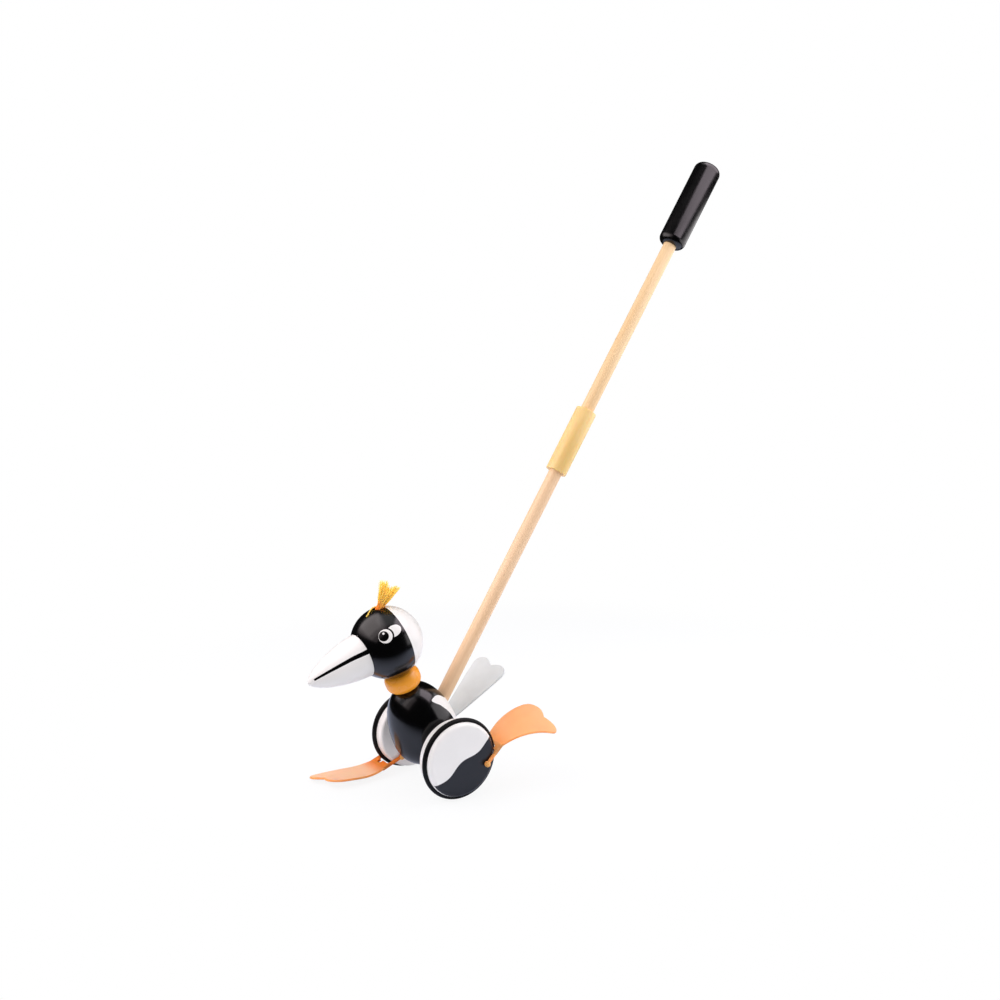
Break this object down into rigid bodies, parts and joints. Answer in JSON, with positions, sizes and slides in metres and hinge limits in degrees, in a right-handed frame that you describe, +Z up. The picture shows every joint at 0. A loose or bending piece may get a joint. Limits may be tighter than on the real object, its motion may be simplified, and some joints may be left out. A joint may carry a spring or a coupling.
{
  "type": "bird push toy",
  "caption": "Wooden bird push toy on rubber-tyred wheels, with webbed rubber feet on the wheels that slap the floor, a fan tail, a yarn crest and a jointed push stick.",
  "frame": {"origin": "on the floor under the middle of the toy's length and width", "axes": "+X to the bird's left along the axle, -Y the way the bird faces, +Z up"},
  "size_m": [0.1212, 0.4225, 0.5371],
  "materials": {
    "black_lacquer": "gloss lacquer",
    "white_lacquer": "gloss lacquer",
    "orange_lacquer": "satin lacquer",
    "beech": "bare satin wood",
    "yarn": "loose fibres",
    "white_rubber": "matt",
    "yellow_plastic": "satin, slightly clear",
    "tyre_rubber": "matt",
    "ochre_plastic": "satin",
    "orange_rubber": "matt"
  },
  "bodies": {
    "bird": {"body": "black_lacquer", "neck_dowel": "beech", "neck_ring": "orange_lacquer", "head": "black_lacquer", "beak": "white_lacquer", "beak_dowel": "beech", "crest_tuft": "yarn", "tail": "white_rubber", "lower_stick": "beech", "stick_sleeve": "yellow_plastic", "upper_stick": "beech", "grip": "black_lacquer", "left_spacer": "beech", "right_spacer": "beech"},
    "wheel_set": {"axle": "beech", "left_wheel": "white_lacquer", "right_wheel": "white_lacquer", "left_tyre": "tyre_rubber", "right_tyre": "tyre_rubber", "left_foot_pin": "ochre_plastic", "right_foot_pin": "ochre_plastic"},
    "left_foot": {"left_foot": "orange_rubber"},
    "right_foot": {"right_foot": "orange_rubber"}
  },
  "joints": [
    {"name": "wheel_spin", "type": "hinge", "parent": "bird", "child": "wheel_set", "pos_m": [0, -0.09793, 0.0345], "axis": [1, 0, 0], "continuous": true},
    {"name": "left_foot_flap", "type": "hinge", "parent": "wheel_set", "child": "left_foot", "pos_m": [0.0423, -0.07508, 0.02751], "axis": [1, 0, 0], "range_deg": [-123.5, 0.5]},
    {"name": "right_foot_flap", "type": "hinge", "parent": "wheel_set", "child": "right_foot", "pos_m": [-0.0423, -0.1106, 0.01423], "axis": [1, 0, 0], "range_deg": [-26, 98]}
  ]
}
